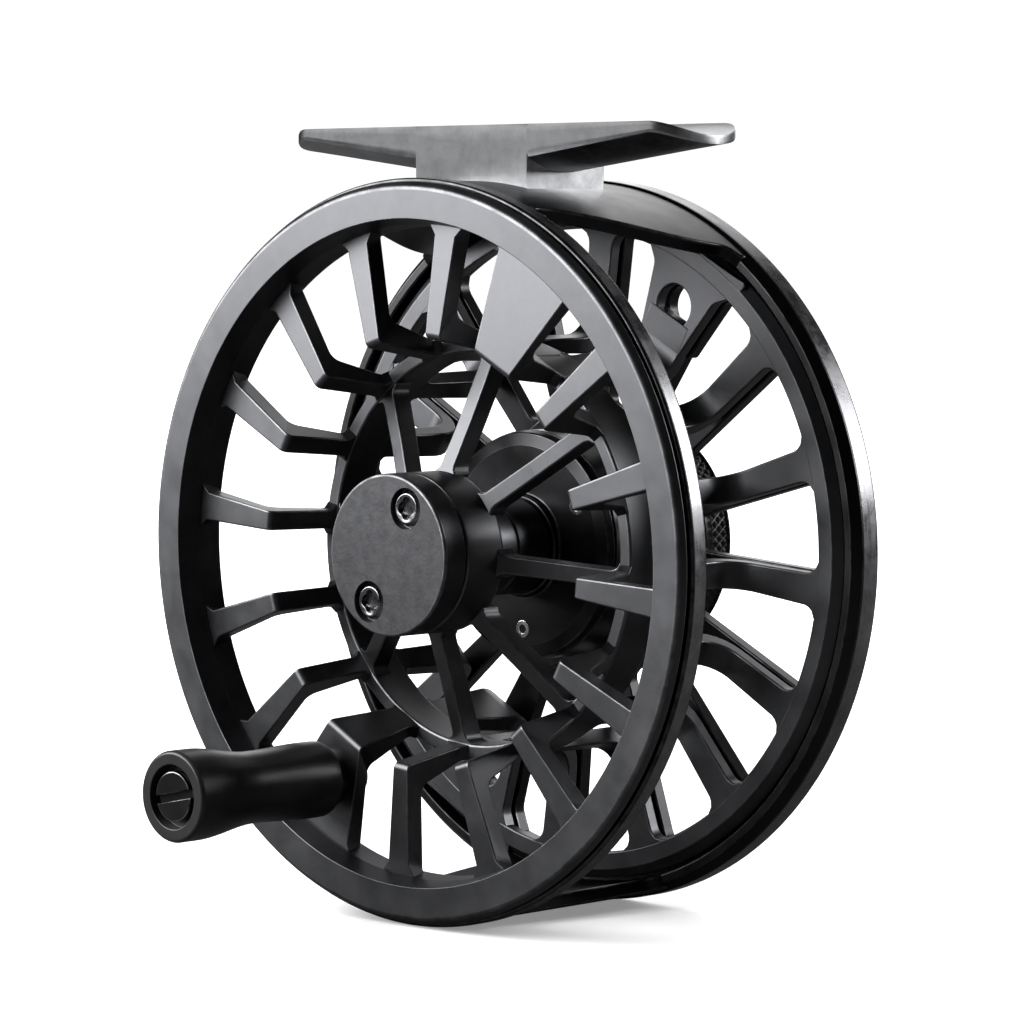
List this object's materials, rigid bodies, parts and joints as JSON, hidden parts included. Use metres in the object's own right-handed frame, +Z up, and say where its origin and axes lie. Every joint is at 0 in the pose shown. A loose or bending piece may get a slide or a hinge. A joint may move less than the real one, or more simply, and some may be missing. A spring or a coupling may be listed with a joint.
{
  "type": "fly reel",
  "caption": "Large-arbor fly reel with an open cage frame, ported spool with a crank grip, sealed disc drag with a rear knob, and a saddle foot.",
  "frame": {"origin": "middle of the rod seat on top of the reel foot", "axes": "+Z up towards the rod, +Y along the spool axis from the handle side to the drag-knob side, +X along the rod"},
  "size_m": [0.092, 0.0681, 0.0987],
  "materials": {
    "spool_anodised": "satin black anodised, fine bead-blasted grain, bright bevelled edges",
    "frame_anodised": "semi-gloss black anodised with brushed metallic rims",
    "foot_aluminium": "bare aluminium, lightly brushed and mottled",
    "hub_cap": "dark grey anodised, slightly mottled satin",
    "dark_screw": "blackened steel, semi-gloss",
    "steel": "turned stainless steel",
    "grip": "satin black moulded grip",
    "carbon_disc": "woven carbon friction disc, matt",
    "bronze": "turned bronze",
    "seal_rubber": "nitrile rubber, matt"
  },
  "bodies": {
    "frame_body": {"frame": "frame_anodised", "reel_foot": "foot_aluminium", "foot_screw_1": "steel", "foot_screw_2": "steel", "drag_cover": "frame_anodised", "cover_screw_1": "steel", "cover_screw_2": "steel", "cover_screw_3": "steel", "shaft_seal": "seal_rubber", "drag_bearing_front": "steel", "drag_bearing_rear": "steel", "pawl_pin": "steel", "pawl_spring": "steel", "stack_washer": "steel", "drag_disc_front": "carbon_disc", "drag_disc_rear": "carbon_disc", "detent_spring": "steel", "detent_ball": "steel", "knob_screw": "dark_screw"},
    "spool_body": {"spool": "spool_anodised", "hub_cap": "hub_cap", "cap_screw_1": "dark_screw", "cap_screw_2": "dark_screw", "spool_bearing_front": "steel", "spool_bearing_rear": "steel", "clutch_shell": "steel", "clutch_cage": "bronze", "clutch_roller_1": "steel", "clutch_roller_2": "steel", "clutch_roller_3": "steel", "clutch_roller_4": "steel", "clutch_roller_5": "steel", "clutch_roller_6": "steel", "handle_post": "steel", "handle_screw": "dark_screw"},
    "handle_body": {"handle_grip": "grip", "handle_bush": "bronze"},
    "rotor_body": {"drag_shaft": "steel", "drag_rotor": "steel", "click_gear": "steel", "retaining_clip": "steel"},
    "pressure_body": {"pressure_plate": "steel", "spring_washer_1": "steel", "spring_washer_2": "steel", "thrust_plate": "steel", "thrust_pin_1": "steel", "thrust_pin_2": "steel", "thrust_pin_3": "steel"},
    "knob_body": {"drag_knob": "frame_anodised"},
    "pawl_body": {"click_pawl": "steel"}
  },
  "joints": [
    {"name": "spool_spin", "type": "hinge", "parent": "frame_body", "child": "spool_body", "pos_m": [0, 0, -0.05085], "axis": [0, 1, 0], "continuous": true},
    {"name": "handle_spin", "type": "hinge", "parent": "spool_body", "child": "handle_body", "pos_m": [-0.01579, -0.0296, -0.07994], "axis": [0, 1, 0], "continuous": true},
    {"name": "drag_rotor_spin", "type": "hinge", "parent": "frame_body", "child": "rotor_body", "pos_m": [0, 0, -0.05085], "axis": [0, 1, 0], "continuous": true},
    {"name": "drag_knob_turn", "type": "hinge", "parent": "frame_body", "child": "knob_body", "pos_m": [0, 0, -0.05085], "axis": [0, 1, 0], "range_deg": [0, 300]},
    {"name": "pressure_slide", "type": "slide", "parent": "frame_body", "child": "pressure_body", "axis": [0, -1, 0], "range_m": [0, 0.0005]},
    {"name": "click_pawl_pivot", "type": "hinge", "parent": "frame_body", "child": "pawl_body", "pos_m": [0, 0.0058, -0.04165], "axis": [0, 1, 0], "range_deg": [0, 12], "stiffness_Nm_per_rad": 0.001}
  ],
  "couplings": [
    {"joint": "drag_rotor_spin", "follows": "spool_spin", "ratio": 1},
    {"joint": "pressure_slide", "follows": "drag_knob_turn", "m_per_rad": 0.00009549}
  ]
}
